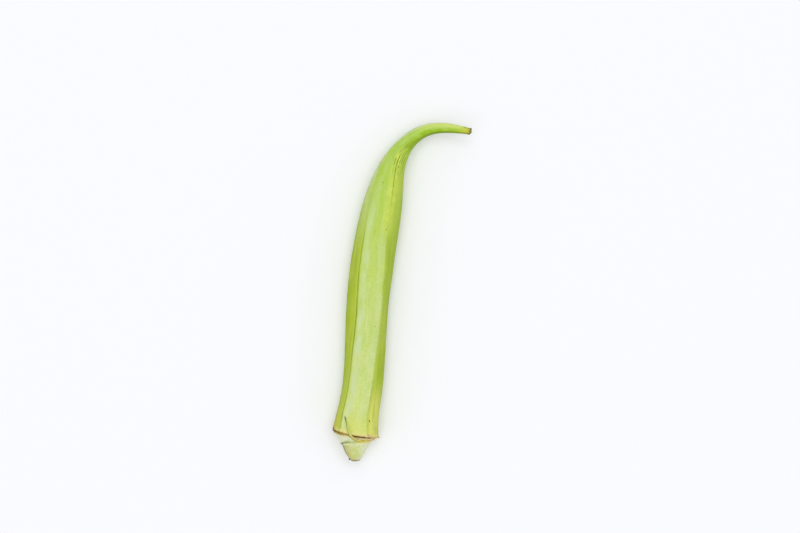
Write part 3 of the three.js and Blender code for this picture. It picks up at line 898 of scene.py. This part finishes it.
def make_stalk():
    """The stalk and the cap in one, from the rounded cut end over the bract ledge to the joint."""
    end = [(0, 0), (0.8, 0.06), (1.4, 0.2), (1.85, 0.45), (2.25, 0.8), (2.6, 1.2), (2.88, 1.6), (3.12, 2.05)]
    outline = [(radius, step - STALK_LENGTH) for radius, step in end]
    outline += down_profile(CAP_RADIUS, -8.7, -0.6, STALK_ROWS) + [(9, -0.35), (8.6, -0.2), (0, -0.15)]
    mesh = axis_rows("stalk_rows", outline, rough=smooth_through([(-11, 0.6), (-9, 1), (-1, 1), (0, 0.3)]))
    sizes = {"ridge_rounding": 0.03, "keel_width": 1 * MM, "unevenness": 0.3 * MM}
    sizes |= {"unevenness_size": 3.5 * MM, "grain": 0.09 * MM, "grain_size": 0.9 * MM, "grain_stretch": 5.0}
    sizes |= {"rag_size": 1 * MM, "seed": 11.0, "columns": 144}
    return grow("okra_stalk", SKIN, [mesh], cap_rind(), STALK, **sizes)


def make_ring(name, outline, ragged, material, **sizes):
    """A torn ring round the joint, from a closed outline of (radius, station) and how ragged each row is."""
    outline = outline + outline[:1]
    mesh = axis_rows(name + "_rows", outline, ragged=np.array(ragged + ragged[:1], float), rough=1.0)
    sizes |= {"ridge_rounding": 0.03, "keel_width": 1 * MM, "grain_size": 0.8 * MM, "grain_stretch": 1.0}
    return grow(name, SKIN, [mesh], material, RIM, columns=360, **sizes)


def strand(name, route, girth, squash, wave=0.0):
    """Rows along a smooth path of (angle, station, lift) on the skin. Its girth goes by the share of its
    length, and the squash is its thickness as a share of its width."""
    knots = []
    for angle, station, lift in route:
        radius = surface_radius(station) + lift
        knots.append(on_skin(angle - float(RIDGE_TWIST(station)), station, radius)[0])
    steps = np.concatenate([[0], np.cumsum(np.linalg.norm(np.diff(knots, axis=0), axis=1))])
    run = np.linspace(0, steps[-1], max(STRAND_ROWS, int(steps[-1] / STRAND_STEP)))
    path = np.column_stack([smooth_through(list(zip(steps, np.array(knots)[:, k])))(run) for k in range(3)])
    path[:, 2] += wave * np.sin(run * WAVE_TURN)
    ahead = np.gradient(path, axis=0)
    ahead /= np.linalg.norm(ahead, axis=1)[:, None]
    middle, _ = axis_at(np.mean([station for _, station, _ in route]))
    up = path - middle - ahead * np.sum((path - middle) * ahead, axis=1)[:, None]
    up /= np.linalg.norm(up, axis=1)[:, None]
    return point_mesh(
        name + "_rows",
        path,
        side=np.cross(ahead, up),
        up=up * squash,
        forward=ahead,
        reach=smooth_through(girth)(run / steps[-1]) * MM,
        station=run * MM,
        **dict.fromkeys(("rough", "keel_left", "keel_right"), 1.0),
        **dict.fromkeys(("twist", "pinch", "flatness", "side_rib", "ragged", "sway", "slant"), 0.0),
    )


def torn_fibres(name, count, first, last, thinnest, thickest):
    """Rows of torn fibres that lie round the joint between two angles and stray off it at their ends."""
    rows = []
    for number in range(count):
        start = luck.uniform(first, last)
        level = luck.uniform(-0.22, 0.25)
        reach = luck.uniform(12, 38)
        steps = [(t, luck.uniform(-0.16, 0.16), luck.uniform(0.05, 0.22)) for t in (0, 0.3, 0.6, 0.85)]
        route = [(start + reach * t, level + drift, lift) for t, drift, lift in steps]
        route.append((start + reach, level + luck.uniform(-0.8, 0.5), luck.uniform(0.2, 0.6)))
        thick = luck.uniform(thinnest, thickest)
        girth = [(0, 0), (0.1, thick), (0.7, thick * 0.9), (1, 0)]
        rows.append(strand(f"{name}_{number}", route, girth, 0.8))
    return rows


def make_strands(name, rows, material, home, **sizes):
    """Slim round or flat strands, a little lumpy, with fine ribs along them if they have a keel height."""
    sizes |= {"unevenness": 0.07 * MM, "unevenness_size": 1.2 * MM, "keel_width": 0.06 * MM}
    return grow(name, SKIN, rows, material, home, grain_size=MM, grain_stretch=4.0, rag_size=MM, **sizes)


def make_pegs(name, places, taper, material, home, unevenness=0.1):
    """Pegs set on the skin, each (angle, station, sunk, lean forward, lean round, girth, length), in degrees
    and mm."""
    points, aims = [], []
    for angle, station, sunk, *leans, _, _ in places:
        point, out, forward = on_skin(angle, station)
        ahead, around = (math.tan(math.radians(lean)) for lean in leans)
        aim = out + forward * ahead + np.cross(forward, out) * around
        aim /= np.linalg.norm(aim)
        points.append(point - out * sunk)
        aims.append(aim)
    girths, lengths = np.array(places)[:, 5:].T * MM
    mesh = point_mesh(name + "_points", points, aim=np.array(aims), girth=girths, length=lengths)
    return grow(name, PEGS, [mesh], material, home, taper=taper, sides=9, unevenness=unevenness * MM)


pod = make_pod()
make_stalk()
seam = make_ring(
    "calyx_rim_seam",
    [(8.7, -0.2), (9.4, -0.25), (9.75, -0.2), (9.88, -0.05)]
    + [(9.85, 0.1), (9.7, 0.2), (9.3, 0.24), (8.7, 0.2)],
    [0, 0.6, 0.9, 1, 1, 0.9, 0.5, 0],
    dry_membrane("dry_calyx_brown", "#E2CB80", "#AE8C36", "#523A12", 0.1),
    unevenness=0.12 * MM,
    unevenness_size=3 * MM,
    grain=0.06 * MM,
    raggedness=0.45 * MM,
    rag_size=0.8 * MM,
    seed=21.0,
)
make_ring(
    "calyx_rim_lip",
    [(8.5, -0.35), (8.85, -0.6), (9.05, -0.78), (9.16, -0.74), (9.16, -0.56), (8.9, -0.3)],
    [0, 0.7, 1, 1, 0.7, 0],
    dry_membrane("dry_calyx_tan", "#F4E9BC", "#E8D896", "#A8883A", 0.0),
    unevenness=0.4 * MM,
    unevenness_size=5 * MM,
    grain=0.05 * MM,
    raggedness=0.5 * MM,
    rag_size=1.3 * MM,
    seed=33.0,
)

dark_fibres = torn_fibres("dark_fibre", 16, -14, 34, 0.09, 0.17)
dark_fibres += torn_fibres("dark_fibre", 10, 60, 240, 0.07, 0.12)
dark_fibres += torn_fibres("dark_fibre", 9, -104, -40, 0.08, 0.14)
strand_brown = speckled("calyx_strand_brown", "#4C3812", "#94762E", 1)
make_strands("calyx_strands_dark", dark_fibres, strand_brown, RIM, columns=8)

pale_fibres = torn_fibres("pale_fibre", 16, 24, 86, 0.08, 0.15)
pale_fibres += torn_fibres("pale_fibre", 12, 100, 240, 0.07, 0.13)
pale_fibres += [
    strand(
        "pale_lip",
        [(0, -0.6, 0), (24, -0.8, 0.15), (45, -0.85, 0.18), (64, -0.8, 0.12), (84, -0.65, 0)],
        [(0, 0), (0.1, 0.22), (0.5, 0.32), (0.9, 0.22), (1, 0)],
        0.6,
    ),
    strand(
        "torn_flap",
        [(12, 0.5, 0), (22, 0.55, 0.1), (29, 0.95, 0.2), (33, 1.5, 0.25), (38, 1.2, 0.3), (43, 1.15, 0.3)]
        + [(49, 0.4, 0.3), (55, -0.5, 0.25), (60, -1.4, 0.2)],
        [(0, 0), (0.15, 0.16), (0.4, 0.26), (0.7, 0.34), (0.9, 0.2), (1, 0)],
        0.5,
    ),
    strand(
        "torn_flap_edge",
        [(20, 0.3, 0.05), (30, 0.45, 0.2), (36, 0.75, 0.3), (42, 0.5, 0.35), (48, -0.2, 0.35), (52, -1, 0.2)],
        [(0, 0), (0.2, 0.12), (0.6, 0.22), (0.9, 0.14), (1, 0)],
        0.6,
    ),
]
# A fan of fibres that leave the joint: where each starts and ends, how far it drops and how high it lies.
fan = [(45, 64, 2.2, 0.2), (49, 66, 2.9, 0.3), (58, 73, 2, 0), (63, 84, 2.6, 0.4), (74, 96, 1.9, 0.3)]
for start, end, drop, lift in fan:
    route = [(start, -0.3, 0.1), (start + 5, -1, 0.25), (start + 12, -1.8, 0.5 + lift)]
    route.append((end, -drop, lift + 0.8))
    pale_fibres.append(strand(f"fan_{start}", route, [(0, 0), (0.15, 0.12), (0.7, 0.08), (1, 0)], 0.8))
strand_tan = speckled("calyx_strand_tan", "#CDB066", "#F4E8B0", 1)
make_strands("calyx_strands_pale", pale_fibres, strand_tan, RIM, columns=8)

bract = strand(
    "bract",
    [(34, -1.9, 0.2), (17, -1.85, 0.45), (4, -1.5, 0.65), (-6, -0.7, 0.85), (-14, 0.6, 0.8), (-23, 2.9, 0.5)]
    + [(-33, 6.3, 0.35), (-35.5, 7.2, 0.5)],
    [(0, 0), (0.04, 0.2), (0.14, 0.4), (0.35, 0.54), (0.6, 0.4), (0.84, 0.2), (0.95, 0.24), (1, 0)],
    0.42,
    wave=0.1,
)
make_strands("bract_strand", [bract], bract_rind(), BRACT, columns=24, keel_height=0.05 * MM)

scar = strand(
    "gold_scar",
    [(12, -1.35, 0), (24, -1.35, 0.08), (45, -1.25, 0.12), (66, -1.2, 0.08), (80, -1.15, 0)],
    [(0, 0), (0.1, 0.24), (0.35, 0.32), (0.7, 0.32), (0.9, 0.3), (1, 0)],
    0.45,
)
scar_gold = speckled("dried_scar_gold", "#AC9C34", "#D2C454", 1.1, 0.65)
make_strands("bract_scars", [scar], scar_gold, BRACT, columns=24, keel_height=0.04 * MM)

# Bristles on a copy of the pod's skin, and fibres on one of the seam's. A density is for each square metre.
bristles = {"density": 6.5e5, "ridge_boost": 1.2, "ridge_band": 1.2 * MM, "lowest": 1.8 * MM}
bristles |= {"first_station": 2 * MM, "last_station": (POD_LENGTH - 4) * MM}
bristles |= {"length": 0.5 * MM, "thickness": 0.035 * MM, "sides": 3, "lean": 0.6, "seed": 5}
bristle_pale = speckled("bristle_pale", "#DDE8AC", "#C0D272", 0.8, 0.5)
grow("pod_bristles", SCATTER, [pod.data.copy()], bristle_pale, POD, **bristles)
fibres = {"density": 5e5, "ridge_boost": 0.0, "ridge_band": 1 * MM, "lowest": 1.2 * MM}
fibres |= {"first_station": -2 * MM, "last_station": 2 * MM}
fibres |= {"length": 0.75 * MM, "thickness": 0.07 * MM, "sides": 5, "lean": 0.9, "seed": 8}
fibre_tan = speckled("calyx_fibre_tan", "#D6BE7A", "#A08038", 0.5)
grow("calyx_fibres", SCATTER, [seam.data.copy()], fibre_tan, RIM, **fibres)

make_pegs(
    "tip_nubs",
    [
        (-78, TIP - 0.1, 0.25, 50, 0, 0.3, 0.75),
        (-50, TIP + 0.1, 0.3, 60, 20, 0.2, 0.5),
        (-40, TIP - 1.8, 0.15, 20, 0, 0.18, 0.24),
        (10, TIP, 0.3, 66, -20, 0.2, 0.5),
        (62, TIP + 0.1, 0.3, 66, 0, 0.26, 0.5),
        (100, TIP - 0.3, 0.25, 40, 10, 0.28, 0.45),
        (170, TIP, 0.35, 60, 0, 0.3, 0.6),
    ],
    0.55,
    speckled("dried_style_brown", "#565022", "#888044", 0.5),
    POD,
    unevenness=0.25,
)
make_pegs(
    "rind_scars",
    [
        (43, 7.1, 0.12, 0, 0, 0.62, 0.24),
        (37, 7.8, 0.12, 0, 0, 0.32, 0.22),
        (22, 46, 0.1, 0, 0, 0.25, 0.18),
        (32, 87, 0.12, 0, 20, 0.4, 0.22),
        (-12, 106, 0.1, 0, 0, 0.28, 0.19),
        (-60, 40, 0.1, 0, 0, 0.3, 0.18),
    ],
    0.45,
    speckled("scar_cork", "#5E5218", "#40360E", 0.3, 0.7),
    POD,
)
make_pegs(
    "calyx_points",
    [
        (-88, 0.35, 0.3, 62, 0, 0.34, 1.1),
        (-98, 0.3, 0.3, 40, 10, 0.3, 0.8),
        (92, 0.2, 0.3, 30, 0, 0.34, 0.7),
        (64, 1.9, 0.15, 10, 0, 0.36, 0.28),
        (66, 0.45, 0.15, 20, 0, 0.4, 0.4),
        (72, -0.6, 0.2, -10, 0, 0.4, 0.45),
    ],
    0.3,
    speckled("calyx_point_brown", "#4E3C14", "#80682A", 0.5),
    RIM,
    unevenness=0.25,
)

sliver = strand(
    "sliver",
    [(-128, -9.9, 0), (-104, -10, 0.08), (-80, -10.1, 0.2), (-62, -10.25, 0.05), (-40, -10.4, -0.05)],
    [(0, 0), (0.2, 0.14), (0.55, 0.34), (0.75, 0.14), (1, 0)],
    0.7,
)
sliver_brown = speckled("cut_sliver_brown", "#4E4620", "#7C7440", 0.5)
make_strands("cut_sliver", [sliver], sliver_brown, STALK, columns=16)
make_pegs(
    "calyx_flaps",
    [
        (-93, 0.1, 0.6, 40, 0, 0.26, 1.2),
        (-84, -0.1, 0.5, -40, 10, 0.2, 1),
        (88, 0.1, 0.5, 35, -15, 0.2, 1.2),
        (80, -0.3, 0.3, -60, 25, 0.16, 1.1),
        (54, 0.2, 0.4, 60, 15, 0.16, 1),
    ],
    0.15,
    speckled("calyx_flap_tan", "#DEC98A", "#94722E", 0.9),
    RIM,
    unevenness=0.3,
)

# ======== Table, light and camera ========


def make_table():
    """A plain matt table under everything: the eye gets an even, almost white ground."""
    bpy.ops.mesh.primitive_plane_add(size=TABLE_SIZE)
    table = bpy.context.object
    table.name = "table"
    material, w = new_material("table_white")
    paint(w, colour("#F9FAFC"), 0.8, Specular_IOR_Level=0)
    table.data.materials.append(material)


def lamp(name, place, size, strength):
    """A soft square lamp aimed at the pod, with its place and size in metres. Its strength is the share of
    full white that it gives a white table."""
    light = bpy.data.lights.new(name, "AREA")
    light.shape = "SQUARE"
    light.size = size
    distance = math.sqrt(sum(c * c for c in place))
    light.energy = strength * (math.pi * distance) ** 2 * distance / place[2]
    holder = bpy.data.objects.new(name, light)
    bpy.context.scene.collection.objects.link(holder)
    holder.location = place
    holder.rotation_euler = (-Vector(place)).to_track_quat("-Z", "Y").to_euler()


def make_camera():
    """A camera straight above, with the stalk's end at the bottom of its view."""
    data = bpy.data.cameras.new("camera")
    data.lens = LENS
    data.sensor_width = SENSOR
    data.clip_start = 0.01
    camera = bpy.data.objects.new("camera", data)
    bpy.context.scene.collection.objects.link(camera)
    height = VIEW_WIDTH * LENS / SENSOR + float(AXIS_HEIGHT(VIEW_STATION))
    camera.location = (VIEW_CENTRE[0] * MM, VIEW_CENTRE[1] * MM, height * MM)
    bpy.context.scene.camera = camera


def make_room():
    """Even pale light from all round, brighter to the camera and in what is glossy or clear."""
    world = bpy.data.worlds.new("room")
    bpy.context.scene.world = world
    world.use_nodes = True
    world.node_tree.nodes.clear()
    w = Weave(world.node_tree)
    path = w.add("LightPath").outputs
    seen = w.chain("MAXIMUM", *(path[f"Is {kind} Ray"] for kind in ("Camera", "Glossy", "Transmission")))
    w.add("OutputWorld", w.add("Background", colour("#FBFBFF"), w.add("Mix", seen, 0.64, 0.97)))


make_table()
make_room()
lamp("key", (0.2, 0.35, 2.6), 2.2, 0.4)
lamp("fill", (-1.0, -1.0, 2.2), 1.5, 0.08)
make_camera()
bpy.context.scene.view_settings.view_transform = "Standard"
